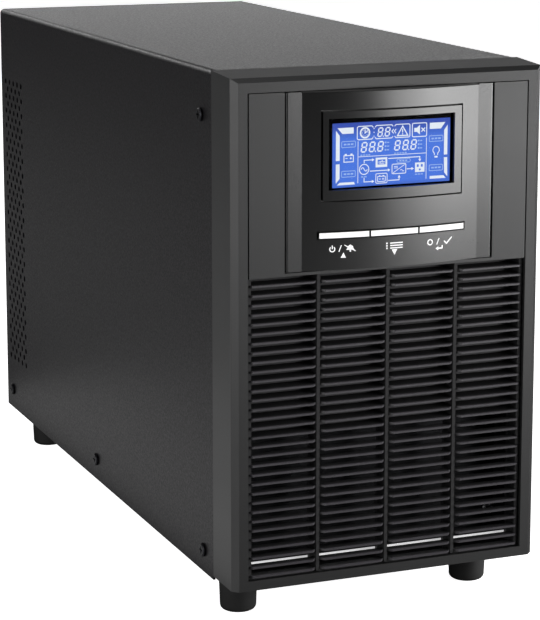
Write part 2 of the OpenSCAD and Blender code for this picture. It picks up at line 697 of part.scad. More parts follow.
module outlet_bank() color("#161618") front() difference() {
  union() {
    block(bank_x, [rear_y, rear_y + 2], bank_z);
    block([bank_x[0] + 2, bank_x[1] - 2], [rear_y - 28, rear_y + eps], [bank_z[0] + 2, bank_z[1] - 2]);
  }
  for (i = [0 : 3], j = [0, 1])
    translate([bank_x[0] + 16.5 + i * 30.3, 0, bank_z[0] + 15 + j * 26]) outlet_recess(26.4, 19.6, [2.2, 5]);
}

module outlet_high_current() color("#161618") front() translate([c19_xz[0], 0, c19_xz[1]]) difference() {
  union() {
    block([-18.5, 18.5], [rear_y, rear_y + 2], [-18.5, 18.5]);
    block([-16, 16], [rear_y - 28, rear_y + eps], [-16, 16]);
  }
  outlet_recess(29, 24, [6.4, 2.2]);
}

module breaker_body() color("#1c1c1f") front() difference() {
  union() {
    block([breaker_xz[0] - 8, breaker_xz[0] + 8], [rear_y - 29, rear_in], [breaker_xz[1] - 17, breaker_xz[1] + 17]);
    bar_y(6, [rear_in - 1, rear_y + 3.6], breaker_xz);
    bar_y(8.4, [rear_y, rear_y + 2.4], breaker_xz, 6);
  }
  bar_y(4.6, [rear_y - 15, rear_y + 4], breaker_xz);
}

module breaker_button() color("#c9342b") front() difference() {
  bar_y(4.2, [rear_y - 12, rear_y + 5.4], breaker_xz);
  translate([breaker_xz[0], rear_y + 24.7, breaker_xz[1]]) sphere(r = 20, $fn = 96);
}

module ground_screw() color("#d1b35a") front() {
  bar_y(2.5, [rear_y - 12, stud_end], ground_xz);
  bar_y(6, [rear_y, rear_y + 1], ground_xz);
  bar_y(4.6, [rear_y + 0.9, rear_y + 4], ground_xz, 6);
  bar_y(4.6, [rear_in - 4, rear_in], ground_xz, 6);
}

module slot_cover() color("#3a3a3c") front() difference() {
  block([slot_xz[0] - 42, slot_xz[0] + 42], [rear_y, rear_y + sheet_t], [slot_xz[1] - 18, slot_xz[1] + 18]);
  for (s = [-1, 1])
    bar_y(hole_r, [rear_y - 1, rear_y + 3], [slot_xz[0] + s * slot_screw_dx, slot_xz[1]]);
}

module usb_port() color("#c4c7cc") front() difference() {
  block([usb_x - 6, usb_x + 6], [rear_y - 15, rear_y + 1.7], [270, 281.2]);
  difference() {
    block([usb_x - 4.4, usb_x + 4.4], [rear_y - 9, rear_y + 2], [271.6, 279.6]);
    block([usb_x - 2.8, usb_x + 2.8], [rear_y - 10, rear_y + 0.5], [274, 277.2]);
  }
}

module serial_port() color("#b4b7bc") front() {
  difference() {
    union() {
      block([serial_x - 15.4, serial_x + 15.4], [rear_y, rear_y + 1], [port_z - 6.3, port_z + 6.3]);
      plate_y([rear_y - 14, rear_y + 5]) translate([serial_x, port_z])
        polygon([[-9.6, 4.9], [9.6, 4.9], [7.9, -4.9], [-7.9, -4.9]]);
    }
    for (i = [0 : 4]) bar_y(0.6, [rear_y + 1, rear_y + 6], [serial_x - 5.54 + i * 2.77, port_z + 1.4]);
    for (i = [0 : 3]) bar_y(0.6, [rear_y + 1, rear_y + 6], [serial_x - 4.155 + i * 2.77, port_z - 1.4]);
    for (s = [-1, 1]) bar_y(1.6, [rear_y - 1, rear_y + 2], [serial_x + s * 12.5, port_z]);
  }
  for (s = [-1, 1]) bar_y(2.7, [rear_y + 1.1, rear_y + 4.6], [serial_x + s * 12.5, port_z], 6);
}

module network_jacks() color("#1c1c1f") front() difference() {
  block([jack_x - 16.5, jack_x + 16.5], [rear_y - 18, rear_y + 1], [269.6, 283]);
  for (s = [-1, 1]) translate([jack_x + s * 8.2, 0, 0]) {
    block([-5.9, 5.9], [rear_y - 12, rear_y + 2], [272.4, 279.4]);
    block([-3, 3], [rear_y - 12, rear_y + 2], [279.3, 281.4]);
  }
}

module epo_terminal() color("#2f8f4e") front() difference() {
  block([epo_x - 6.5, epo_x + 6.5], [rear_y - 12, rear_y + 4], [270.8, 280.8]);
  for (s = [-1, 1]) {
    block([epo_x + s * 3 - 1.6, epo_x + s * 3 + 1.6], [rear_y - 3, rear_y + 5], [272.4, 275.8]);
    bar_y(1.5, [rear_y + 2.8, rear_y + 5], [epo_x + s * 3, 278.4]);
  }
}

case_cover();
base_pan();
front_plate();
battery_door();
divider_shelf();
rear_panel();
bezel_frame();
front_surround();
front_grille();
control_fascia();
fascia_seal();
lcd_frame();
lcd_window();
lcd_panel();
display_board();
display_screws();
tact_switches();
key_up();
key_down();
key_enter();
actuator_up();
actuator_down();
actuator_enter();
display_ribbon();
rubber_feet();
foot_screws();
case_screws();
panel_screws();
batteries();
battery_rails();
battery_links();
main_board();
board_standoffs();
heatsinks();
power_transistors();
bulk_capacitors();
chokes();
charger_transformer();
relays();
control_board();
comms_board();
fan_frame_left();
fan_frame_right();
fan_rotor_left();
fan_rotor_right();
fan_guards();
fan_screws();
power_inlet();
inlet_pins();
outlet_bank();
outlet_high_current();
breaker_body();
breaker_button();
ground_screw();
slot_cover();
usb_port();
serial_port();
network_jacks();
epo_terminal();
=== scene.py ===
import math

import bmesh
import bpy
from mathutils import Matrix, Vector


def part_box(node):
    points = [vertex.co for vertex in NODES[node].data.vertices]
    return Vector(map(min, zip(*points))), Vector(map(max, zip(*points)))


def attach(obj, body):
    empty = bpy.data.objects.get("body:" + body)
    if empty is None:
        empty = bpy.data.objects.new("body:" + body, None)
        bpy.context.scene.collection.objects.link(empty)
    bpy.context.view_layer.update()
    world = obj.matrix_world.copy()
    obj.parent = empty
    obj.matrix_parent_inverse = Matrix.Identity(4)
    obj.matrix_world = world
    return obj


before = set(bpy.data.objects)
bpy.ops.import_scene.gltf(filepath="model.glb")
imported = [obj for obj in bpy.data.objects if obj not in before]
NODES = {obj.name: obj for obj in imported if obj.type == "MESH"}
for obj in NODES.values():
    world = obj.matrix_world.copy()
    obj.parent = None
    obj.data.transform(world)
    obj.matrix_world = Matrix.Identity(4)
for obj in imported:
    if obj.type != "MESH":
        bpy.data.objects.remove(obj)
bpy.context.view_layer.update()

# ---------------------------------------------------------------- frame and sizes
MM = 0.001
BEZEL_FACE_Y = -234.0   # row y of the bezel's front face, mm
UNDERSIDE_Z = 24.0      # row z of the case's underside, mm
BOW_HALF, BOW_RISE = 54.0, 5.5
KEY_SKIN = 0.15         # how far behind the bowed surface the keys stay white before their painted shade, mm
KEY_SKIN_FADE = 0.15    # over which the white then turns to the black of the painted shade, mm
KEY_PITCH, KEY_HALF_W, KEY_MID_Z, KEY_HALF_H = 30.0, 14.7, 203.35, 1.85
KEY_RIM = 0.34          # painted shadow: black rim round each key's white face, mm
MASK_EDGE = 0.05        # softness of a mask's edge, mm
KEY_GLOW, INK_GLOW, LIP_GLOW = 0.30, 0.35, 0.55  # weak painted glow that lifts the whites of keys, print and the door's lip, though none is a lamp
NOSE_DEPTH = (1.6, 2.4)     # where the louvres' noses, painted pale as lit, end, mm behind the bezel's face
LIP_DEPTH = (12.2, 12.5)    # where the louvres' rear lips, painted pale as lit, begin, mm behind the bezel's face
PAINT_TINT = (1.04, 0.90, 1.12)
GRILLE_TINT = (1.0, 0.93, 1.06)
MOULDED_TINT = (1.0, 1.0, 1.02)
WAVE_PERIOD = 2 * math.pi / 20  # of the wave texture at scale 1, m
SHELL_BLACK = (0.008, 0.008, 0.009)
BOW_R = (BOW_HALF ** 2 + BOW_RISE ** 2) / (2 * BOW_RISE)


def at(x, y, z):
    """x across, y behind the bezel's face, z above the underside, in mm, to the row frame."""
    return Vector((x * MM, (y + BEZEL_FACE_Y) * MM, (z + UNDERSIDE_Z) * MM))


def new_material(name):
    m = bpy.data.materials.new(name)
    m.use_nodes = True
    return m, m.node_tree, m.node_tree.nodes["Principled BSDF"]


def coords(nt, scale=(1, 1, 1)):
    source = nt.nodes.new("ShaderNodeTexCoord")
    mapping = nt.nodes.new("ShaderNodeMapping")
    mapping.inputs["Scale"].default_value = scale
    nt.links.new(source.outputs["Object"], mapping.inputs["Vector"])
    return mapping.outputs["Vector"]


def axes(nt, vector):
    """The X, Y and Z outputs of a split vector."""
    split = nt.nodes.new("ShaderNodeSeparateXYZ")
    nt.links.new(vector, split.inputs[0])
    return split.outputs


def noise(nt, vector, per_m, detail=3.0, rough=0.55):
    n = nt.nodes.new("ShaderNodeTexNoise")
    n.inputs["Scale"].default_value = per_m
    n.inputs["Detail"].default_value = detail
    n.inputs["Roughness"].default_value = rough
    nt.links.new(vector, n.inputs["Vector"])
    return n.outputs["Fac"]


def cells(nt, vector, per_m, feature="F1", output="Distance"):
    n = nt.nodes.new("ShaderNodeTexVoronoi")
    n.feature = feature
    n.inputs["Scale"].default_value = per_m
    nt.links.new(vector, n.inputs["Vector"])
    return n.outputs[output]


def span(nt, value, lo, hi, a, b):
    n = nt.nodes.new("ShaderNodeMapRange")
    for key, number in (("From Min", lo), ("From Max", hi), ("To Min", a), ("To Max", b)):
        n.inputs[key].default_value = number
    nt.links.new(value, n.inputs["Value"])
    return n.outputs["Result"]


def blend(nt, share, a, b):
    n = nt.nodes.new("ShaderNodeMix")
    n.data_type = "RGBA"
    if isinstance(share, float):
        n.inputs[0].default_value = share
    else:
        nt.links.new(share, n.inputs[0])
    for socket, value in ((n.inputs[6], a), (n.inputs[7], b)):
        if isinstance(value, tuple):
            socket.default_value = (*value, 1.0)
        else:
            nt.links.new(value, socket)
    return n.outputs[2]


def reckon(nt, kind, a, b):
    n = nt.nodes.new("ShaderNodeMath")
    n.operation = kind
    for socket, value in ((n.inputs[0], a), (n.inputs[1], b)):
        if isinstance(value, (int, float)):
            socket.default_value = value
        else:
            nt.links.new(value, socket)
    return n.outputs[0]


def bump(nt, shader, *heights):
    """heights is (value, depth in mm) pairs, coarse first."""
    normal = None
    for value, depth in heights:
        n = nt.nodes.new("ShaderNodeBump")
        n.inputs["Strength"].default_value = 1.0
        n.inputs["Distance"].default_value = depth * MM
        nt.links.new(value, n.inputs["Height"])
        if normal is not None:
            nt.links.new(normal, n.inputs["Normal"])
        normal = n.outputs["Normal"]
    nt.links.new(normal, shader.inputs["Normal"])


def grey(value, tint=(1.0, 1.0, 1.0)):
    return tuple(value * t for t in tint)


# ---------------------------------------------------------------- surface families
def powder_coat(name, tone, rough, specular):
    m, nt, s = new_material(name)
    v = coords(nt)
    grain = noise(nt, v, 1500, 2.0, 0.6)
    peel = noise(nt, v, 620, 3.0, 0.65)
    cloud = noise(nt, v, 9, 3.0)
    speck = span(nt, cells(nt, v, 620), 0.0, 0.22, 1.0, 0.0)
    base = blend(nt, cloud, grey(tone * 0.86, PAINT_TINT), grey(tone * 1.14, PAINT_TINT))
    base = blend(nt, span(nt, peel, 0.35, 0.65, 0.0, 0.75), base, grey(tone * 2.2, PAINT_TINT))
    base = blend(nt, reckon(nt, "MULTIPLY", speck, 0.30), base, grey(tone * 4.5, PAINT_TINT))
    nt.links.new(base, s.inputs["Base Color"])
    nt.links.new(span(nt, reckon(nt, "ADD", peel, grain), 0.75, 1.25, rough - 0.10, rough + 0.10),
                 s.inputs["Roughness"])
    s.inputs["Specular IOR Level"].default_value = specular
    bump(nt, s, (peel, 0.035), (grain, 0.010))
    return m


def moulded(name, tone, rough, specular, grain_per_m, depth, coat=0.0):
    m, nt, s = new_material(name)
    v = coords(nt)
    grain = noise(nt, v, grain_per_m, 3.0, 0.6)
    flow = noise(nt, coords(nt, (6, 6, 22)), 1.0, 3.0)
    base = blend(nt, flow, grey(tone * 0.88, MOULDED_TINT), grey(tone * 1.12, MOULDED_TINT))
    base = blend(nt, reckon(nt, "MULTIPLY", grain, 0.30), base, grey(tone * 1.8, MOULDED_TINT))
    nt.links.new(base, s.inputs["Base Color"])
    nt.links.new(span(nt, reckon(nt, "ADD", grain, flow), 0.6, 1.4, rough - 0.045, rough + 0.045),
                 s.inputs["Roughness"])
    s.inputs["Specular IOR Level"].default_value = specular
    if coat:
        s.inputs["Coat Weight"].default_value = coat
        s.inputs["Coat Roughness"].default_value = 0.18
    bump(nt, s, (grain, depth))
    return m


def zinc_sheet(name, tone, rough, streak=(4, 40, 900)):
    m, nt, s = new_material(name)
    streaks = noise(nt, coords(nt, streak), 1.0, 4.0, 0.6)
    v = coords(nt)
    spangle = cells(nt, v, 160, "F1", "Color")
    cloud = noise(nt, v, 30, 3.0)
    base = blend(nt, streaks, grey(tone * 0.72, (1.0, 1.0, 1.03)), grey(tone * 1.15, (1.0, 1.01, 1.03)))
    base = blend(nt, reckon(nt, "MULTIPLY", cloud, 0.25), base, grey(tone * 0.6, (1.0, 0.98, 0.95)))
    nt.links.new(base, s.inputs["Base Color"])
    s.inputs["Metallic"].default_value = 1.0
    nt.links.new(span(nt, reckon(nt, "ADD", streaks, reckon(nt, "MULTIPLY", spangle, 0.3)), 0.3, 1.0,
                      rough - 0.08, rough + 0.10), s.inputs["Roughness"])
    bump(nt, s, (streaks, 0.004))
    return m


def door_metal(name):
    """The lip's cut edge painted bright, with a glow of its own, as a painted highlight; the sheet behind it
    painted nearly black as shade.
    """
    m = zinc_sheet(name, 0.86, 0.30)
    nt = m.node_tree
    s = nt.nodes["Principled BSDF"]
    place = axes(nt, coords(nt))
    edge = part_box("battery_door")[0].y
    lip_glow_mask = span(nt, place["Y"], edge + 0.2 * MM, edge + 0.4 * MM, 1.0, 0.0)
    sheen = s.inputs["Base Color"].links[0].from_socket
    # painted shade: the sheet behind the lip goes near black
    dark = blend(nt, 0.975, sheen, (0.002, 0.002, 0.003))
    # painted highlight: the lip's edge turns a pale non-metal and glows by LIP_GLOW, though it is no lamp
    bright = blend(nt, 0.6, sheen, (0.95, 0.95, 0.95))
    nt.links.new(blend(nt, lip_glow_mask, dark, bright), s.inputs["Base Color"])
    nt.links.new(reckon(nt, "SUBTRACT", 1.0, lip_glow_mask), s.inputs["Metallic"])
    nt.links.new(blend(nt, lip_glow_mask, (0.0, 0.0, 0.0), bright), s.inputs["Emission Color"])
    s.inputs["Emission Strength"].default_value = LIP_GLOW
    return m


def grille_moulding(name):
    """Noses and rear lips painted pale and glossier, as lit; duller and painted dark in between, as shade.
    """
    m, nt, s = new_material(name)
    v = coords(nt)
    grain = noise(nt, v, 2100, 3.0, 0.6)
    flow = noise(nt, coords(nt, (8, 8, 60)), 1.0, 3.0)
    depth = axes(nt, v)["Y"]
    nose = span(nt, depth, *(at(0, y, 0).y for y in NOSE_DEPTH), 1.0, 0.0)
    lip = span(nt, depth, *(at(0, y, 0).y for y in LIP_DEPTH), 0.0, 0.55)
    # painted light: pale where the louvres are lit, dark where shade falls between them
    painted_light_share = reckon(nt, "MAXIMUM", nose, lip)
    pale = blend(nt, flow, grey(0.034, GRILLE_TINT), grey(0.050, GRILLE_TINT))
    base = blend(nt, painted_light_share, grey(0.0065, GRILLE_TINT), pale)
    base = blend(nt, reckon(nt, "MULTIPLY", grain, 0.12), base, grey(0.03, GRILLE_TINT))
    nt.links.new(base, s.inputs["Base Color"])
    nt.links.new(span(nt, reckon(nt, "ADD", painted_light_share, reckon(nt, "MULTIPLY", grain, 0.1)), 0.0, 1.0, 0.72, 0.36),
                 s.inputs["Roughness"])
    s.inputs["Specular IOR Level"].default_value = 0.45
    bump(nt, s, (grain, 0.005))
    return m


def port_shell(name, node, inset_x, inset_z):
    """Nickel shell round a black insert, which starts an inset inside the node's box."""
    m = bright_metal(name, (0.42, 0.42, 0.44), 0.38)
    nt = m.node_tree
    s = nt.nodes["Principled BSDF"]
    place = axes(nt, coords(nt))
    low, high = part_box(node)
    masks = []
    for axis, inset in (("x", inset_x), ("z", inset_z)):
        a, b = getattr(low, axis), getattr(high, axis)
        away = reckon(nt, "ABSOLUTE", reckon(nt, "SUBTRACT", place[axis.upper()], (a + b) / 2), 0.0)
        edge = (b - a) / 2 - inset * MM
        masks.append(span(nt, away, edge, edge + 0.1 * MM, 1.0, 0.0))
    inside = reckon(nt, "MINIMUM", *masks)
    metal = s.inputs["Base Color"].links[0].from_socket
    nt.links.new(blend(nt, inside, metal, SHELL_BLACK), s.inputs["Base Color"])
    nt.links.new(reckon(nt, "SUBTRACT", 1.0, inside), s.inputs["Metallic"])
    return m


def rubber(name, tone):
    m, nt, s = new_material(name)
    v = coords(nt)
    grain = noise(nt, v, 1500, 4.0, 0.65)
    dust = noise(nt, v, 90, 4.0, 0.6)
    base = blend(nt, span(nt, dust, 0.45, 0.75, 0.0, 0.5), grey(tone), grey(tone * 2.2, (1.0, 0.98, 0.94)))
    nt.links.new(base, s.inputs["Base Color"])
    nt.links.new(span(nt, dust, 0.3, 0.7, 0.62, 0.86), s.inputs["Roughness"])
    s.inputs["Specular IOR Level"].default_value = 0.35
    bump(nt, s, (grain, 0.02))
    return m


def bright_metal(name, colour, rough):
    m, nt, s = new_material(name)
    v = coords(nt)
    scratch = noise(nt, coords(nt, (30, 300, 2400)), 1.0, 3.0, 0.6)
    stain = noise(nt, v, 700, 3.0)
    base = blend(nt, stain, tuple(c * 0.8 for c in colour), tuple(min(1.0, c * 1.12) for c in colour))
    nt.links.new(base, s.inputs["Base Color"])
    s.inputs["Metallic"].default_value = 1.0
    nt.links.new(span(nt, reckon(nt, "ADD", scratch, stain), 0.6, 1.4, rough * 0.7, rough * 1.4),
                 s.inputs["Roughness"])
    bump(nt, s, (scratch, 0.002))
    return m


def circuit_board(name):
    m, nt, s = new_material(name)
    v = coords(nt)
    tracks = span(nt, cells(nt, v, 260, "DISTANCE_TO_EDGE"), 0.02, 0.06, 1.0, 0.0)
    pads = span(nt, cells(nt, v, 340), 0.10, 0.14, 1.0, 0.0)
    weave = noise(nt, v, 2400, 2.0)
    base = blend(nt, weave, (0.008, 0.075, 0.030), (0.014, 0.110, 0.045))
    base = blend(nt, reckon(nt, "MULTIPLY", tracks, 0.7), base, (0.03, 0.20, 0.08))
    base = blend(nt, pads, base, (0.55, 0.55, 0.50))
    nt.links.new(base, s.inputs["Base Color"])
    nt.links.new(span(nt, weave, 0.3, 0.7, 0.28, 0.42), s.inputs["Roughness"])
    bump(nt, s, (tracks, 0.03), (weave, 0.004))
    return m


def winding(name, colour, pitch_mm):
    m, nt, s = new_material(name)
    wave = nt.nodes.new("ShaderNodeTexWave")
    wave.inputs["Scale"].default_value = WAVE_PERIOD / (pitch_mm * MM)
    wave.inputs["Distortion"].default_value = 1.2
    nt.links.new(coords(nt), wave.inputs["Vector"])
    turns = wave.outputs["Fac"]
    base = blend(nt, turns, tuple(c * 0.35 for c in colour), colour)
    nt.links.new(base, s.inputs["Base Color"])
    nt.links.new(span(nt, turns, 0.0, 1.0, 0.5, 0.28), s.inputs["Roughness"])
    s.inputs["Coat Weight"].default_value = 0.5
    bump(nt, s, (turns, 0.3))
    return m


def tinted_plastic(name, colour, rough):
    """Coloured moulded plastic: keys, relays, battery cases, terminals."""
    m, nt, s = new_material(name)
    v = coords(nt)
    grain = noise(nt, v, 1600, 3.0)
    flow = noise(nt, v, 45, 3.0)
    base = blend(nt, flow, tuple(c * 0.93 for c in colour), tuple(min(1.0, c * 1.05) for c in colour))
    base = blend(nt, reckon(nt, "MULTIPLY", grain, 0.14), base, tuple(c * 0.75 for c in colour))
    nt.links.new(base, s.inputs["Base Color"])
    nt.links.new(span(nt, reckon(nt, "ADD", grain, flow), 0.6, 1.4, rough - 0.05, rough + 0.06),
                 s.inputs["Roughness"])
    bump(nt, s, (grain, 0.004))
    return m


def rim_mask(nt, distance, half):
    """1 on the outermost KEY_RIM of a face that reaches half, in mm, from its middle, where the painted
    shadow round a key goes.
    """
    inner = (half - KEY_RIM) * MM
    return span(nt, distance, inner, inner + MASK_EDGE * MM, 0.0, 1.0)


def key_cap(name):
    """White face with a painted-shadow black rim and a weak painted glow; more than KEY_SKIN behind the bow
    it is painted black as the shade between the parts.
    """
    m = tinted_plastic(name, (0.93, 0.93, 0.92), 0.34)
    nt = m.node_tree
    s = nt.nodes["Principled BSDF"]
    place = axes(nt, coords(nt))
    bow = reckon(nt, "MULTIPLY", reckon(nt, "POWER", place["X"], 2.0), BOW_RISE / BOW_HALF ** 2 / MM)
    front = at(0, -BOW_RISE, 0).y
    depth = reckon(nt, "SUBTRACT", reckon(nt, "SUBTRACT", place["Y"], front), bow)
    # painted shade: the key sides behind the bow go black, as the shade between the keys
    behind = span(nt, depth, KEY_SKIN * MM, (KEY_SKIN + KEY_SKIN_FADE) * MM, 0.0, 1.0)
    along = reckon(nt, "MODULO", reckon(nt, "ADD", place["X"], 1.5 * KEY_PITCH * MM), KEY_PITCH * MM)
    along = reckon(nt, "ABSOLUTE", reckon(nt, "SUBTRACT", along, KEY_PITCH / 2 * MM), 0.0)
    up = reckon(nt, "ABSOLUTE", reckon(nt, "SUBTRACT", place["Z"], at(0, 0, KEY_MID_Z).z), 0.0)
    # painted shadow: the black rim round each white face
    rim = reckon(nt, "MAXIMUM", rim_mask(nt, along, KEY_HALF_W), rim_mask(nt, up, KEY_HALF_H))
    black = reckon(nt, "MAXIMUM", behind, rim)
    white = s.inputs["Base Color"].links[0].from_socket
    nt.links.new(blend(nt, black, white, (0.004, 0.004, 0.004)), s.inputs["Base Color"])
    # painted light: the white face glows weakly, though it is no lamp
    nt.links.new(blend(nt, black, (1.0, 1.0, 1.0), (0.0, 0.0, 0.0)), s.inputs["Emission Color"])
    s.inputs["Emission Strength"].default_value = KEY_GLOW
    return m


def clear_window(name):
    m, nt, s = new_material(name)
    v = coords(nt)
    smear = noise(nt, v, 60, 4.0, 0.6)
    nt.links.new(span(nt, smear, 0.35, 0.7, 0.10, 0.18), s.inputs["Roughness"])
    nt.links.new(blend(nt, smear, (0.95, 0.96, 0.97), (1.0, 1.0, 1.0)), s.inputs["Base Color"])
    s.inputs["Transmission Weight"].default_value = 1.0
    s.inputs["IOR"].default_value = 1.05  # coated against glare
    return m


def lit_display(name, low, high, glow):
    """Backlit blue field: even in the middle, dimmer to the top and the ends."""
    m, nt, s = new_material(name)
    v = coords(nt)
    split = axes(nt, v)
    centre, top = at(0.5, 0, 247), at(0, 0, 265)
    ends = span(nt, reckon(nt, "ABSOLUTE", reckon(nt, "SUBTRACT", split["X"], centre.x), 0.0),
                30 * MM, 37 * MM, 0.0, 1.0)
    upper = span(nt, split["Z"], top.z - 10 * MM, top.z - 2 * MM, 0.0, 1.0)
    lower = span(nt, split["Z"], top.z - 36 * MM, top.z - 33.5 * MM, 1.0, 0.0)
    mottle = noise(nt, v, 240, 2.0)
    dim = reckon(nt, "MAXIMUM", reckon(nt, "MULTIPLY", ends, 0.55),
                 reckon(nt, "MAXIMUM", upper, reckon(nt, "MULTIPLY", lower, 0.5)))
    dim = reckon(nt, "ADD", dim, reckon(nt, "MULTIPLY", reckon(nt, "SUBTRACT", mottle, 0.5), 0.10))
    colour = blend(nt, dim, high, low)
    nt.links.new(colour, s.inputs["Emission Color"])
    s.inputs["Emission Strength"].default_value = glow
    nt.links.new(blend(nt, dim, (0.0010, 0.0025, 0.010), (0.0005, 0.0015, 0.006)), s.inputs["Base Color"])
    s.inputs["Roughness"].default_value = 0.6
    s.inputs["Specular IOR Level"].default_value = 0.0
    return m


def lit_mark(name, colour, glow):
    m, nt, s = new_material(name)
    mottle = noise(nt, coords(nt), 500, 2.0)
    tone = blend(nt, mottle, tuple(c * 0.90 for c in colour), colour)
    nt.links.new(tone, s.inputs["Emission Color"])
    nt.links.new(blend(nt, 0.985, tone, (0.0, 0.0, 0.0)), s.inputs["Base Color"])
    s.inputs["Emission Strength"].default_value = glow
    s.inputs["Roughness"].default_value = 0.6
    s.inputs["Specular IOR Level"].default_value = 0.0
    return m


def printed_ink(name, colour):
    m, nt, s = new_material(name)
    v = coords(nt)
    grain = noise(nt, v, 3000, 2.0)
    tone = blend(nt, grain, tuple(c * 0.86 for c in colour), colour)
    nt.links.new(tone, s.inputs["Base Color"])
    nt.links.new(span(nt, grain, 0.3, 0.7, 0.42, 0.6), s.inputs["Roughness"])
    # painted light: the print glows weakly, though it is no lamp
    nt.links.new(tone, s.inputs["Emission Color"])
    s.inputs["Emission Strength"].default_value = INK_GLOW
    bump(nt, s, (grain, 0.003))
    return m


MATERIALS = {
    "case_paint": powder_coat("case_paint", 0.0030, 0.42, 0.195),
    "panel_paint": powder_coat("panel_paint", 0.016, 0.46, 0.40),
    "chassis_zinc": zinc_sheet("chassis_zinc", 0.42, 0.42, (30, 4, 700)),
    "door_zinc_painted_light": door_metal("door_zinc_painted_light"),
    "bezel_plastic": moulded("bezel_plastic", 0.012, 0.42, 0.45, 2100, 0.007),
    "surround_plastic": moulded("surround_plastic", 0.014, 0.38, 0.45, 2100, 0.007),
    "grille_plastic": grille_moulding("grille_plastic"),
    "fascia_plastic": moulded("fascia_plastic", 0.004, 0.25, 0.50, 2600, 0.0016, coat=0.25),
    # painted shade: the seal is a black strip standing in for the dark wedge of shade above the bowed fascia
    "foam": rubber("foam", 0.012),
    "window_clear": clear_window("window_clear"),
    "display_mask": moulded("display_mask", 0.0006, 0.70, 0.0, 2600, 0.001),
    "key_white": key_cap("key_white"),
    "black_plastic": moulded("black_plastic", 0.014, 0.38, 0.45, 1700, 0.004),
    "outlet_plastic": moulded("outlet_plastic", 0.011, 0.34, 0.45, 1700, 0.003),
    "board_green": circuit_board("board_green"),
    "rubber_black": rubber("rubber_black", 0.010),
    "screw_black": bright_metal("screw_black", (0.022, 0.022, 0.025), 0.42),
    "screw_zinc": bright_metal("screw_zinc", (0.62, 0.62, 0.64), 0.24),
    "battery_case": tinted_plastic("battery_case", (0.020, 0.021, 0.024), 0.42),
    "link_red": tinted_plastic("link_red", (0.075, 0.010, 0.009), 0.45),
    "ribbon_grey": tinted_plastic("ribbon_grey", (0.035, 0.035, 0.038), 0.5),
    "heatsink_alu": bright_metal("heatsink_alu", (0.62, 0.63, 0.65), 0.38),
    "capacitor_blue": tinted_plastic("capacitor_blue", (0.012, 0.030, 0.10), 0.3),
    "copper_winding": winding("copper_winding", (0.60, 0.24, 0.09), 7.544),
    "transformer_tape": tinted_plastic("transformer_tape", (0.62, 0.42, 0.05), 0.3),
    "relay_blue": tinted_plastic("relay_blue", (0.02, 0.06, 0.17), 0.36),
    "usb_shell": port_shell("usb_shell", "usb_port", 1.6, 1.6),
    "serial_shell": port_shell("serial_shell", "serial_port", 7.9, 2.3),
    "guard_chrome": bright_metal("guard_chrome", (0.66, 0.66, 0.68), 0.16),
    "pin_brass": bright_metal("pin_brass", (0.72, 0.55, 0.26), 0.26),
    "button_red": tinted_plastic("button_red", (0.48, 0.020, 0.014), 0.3),
    "terminal_green": tinted_plastic("terminal_green", (0.02, 0.22, 0.06), 0.36),
}
DRESS = {
    "case_paint": ["case_cover"],
    "panel_paint": ["front_plate", "rear_panel", "slot_cover"],
    "chassis_zinc": ["base_pan", "divider_shelf", "battery_rails"],
    "door_zinc_painted_light": ["battery_door"],
    "bezel_plastic": ["bezel_frame"],
    "surround_plastic": ["front_surround"],
    "grille_plastic": ["front_grille"],
    "fascia_plastic": ["control_fascia", "lcd_frame"],
    # painted shade: a black seal where the shade above the bowed fascia falls
    "foam": ["fascia_seal"],
    "window_clear": ["lcd_window"],
    "display_mask": ["lcd_panel"],
    "key_white": ["key_up", "key_down", "key_enter"],
    "black_plastic": ["tact_switches", "actuator_up", "actuator_down", "actuator_enter", "breaker_body",
                      "fan_frame_left", "fan_frame_right", "fan_rotor_left", "fan_rotor_right",
                      "power_transistors", "network_jacks"],
    "outlet_plastic": ["power_inlet", "outlet_bank", "outlet_high_current"],
    "board_green": ["display_board", "main_board", "control_board", "comms_board"],
    "rubber_black": ["rubber_feet"],
    "screw_black": ["case_screws", "fan_screws"],
    "screw_zinc": ["display_screws", "foot_screws", "panel_screws"],
    "usb_shell": ["usb_port"],
    "serial_shell": ["serial_port"],
    "battery_case": ["batteries"],
    "link_red": ["battery_links"],
    "ribbon_grey": ["display_ribbon"],
    "heatsink_alu": ["heatsinks"],
    "capacitor_blue": ["bulk_capacitors"],
    "copper_winding": ["chokes"],
    "transformer_tape": ["charger_transformer"],
    "relay_blue": ["relays"],
    "guard_chrome": ["fan_guards"],
    "pin_brass": ["inlet_pins", "ground_screw", "board_standoffs"],
    "button_red": ["breaker_button"],
    "terminal_green": ["epo_terminal"],
}
for look, names in DRESS.items():
    for node in names:
        mesh = NODES[node].data
        mesh.materials.clear()
        mesh.materials.append(MATERIALS[look])
undressed = set(NODES) - {n for names in DRESS.values() for n in names}
if undressed:
    raise ValueError(f"no material for {sorted(undressed)}")


def soften(node, width):
    """Rounds a CAD node's sharp edges by width, in mm, for the light to catch."""
    b = NODES[node].modifiers.new("edge", "BEVEL")
    b.width = width * MM
    b.segments = 2
    b.limit_method = "ANGLE"
    b.angle_limit = math.radians(30.0)
    b.harden_normals = True


for node, width in (("bezel_frame", 0.5), ("front_surround", 0.25), ("control_fascia", 0.2),
                    ("lcd_frame", 0.7), ("key_up", 0.35), ("key_down", 0.35), ("key_enter", 0.35)):
    soften(node, width)


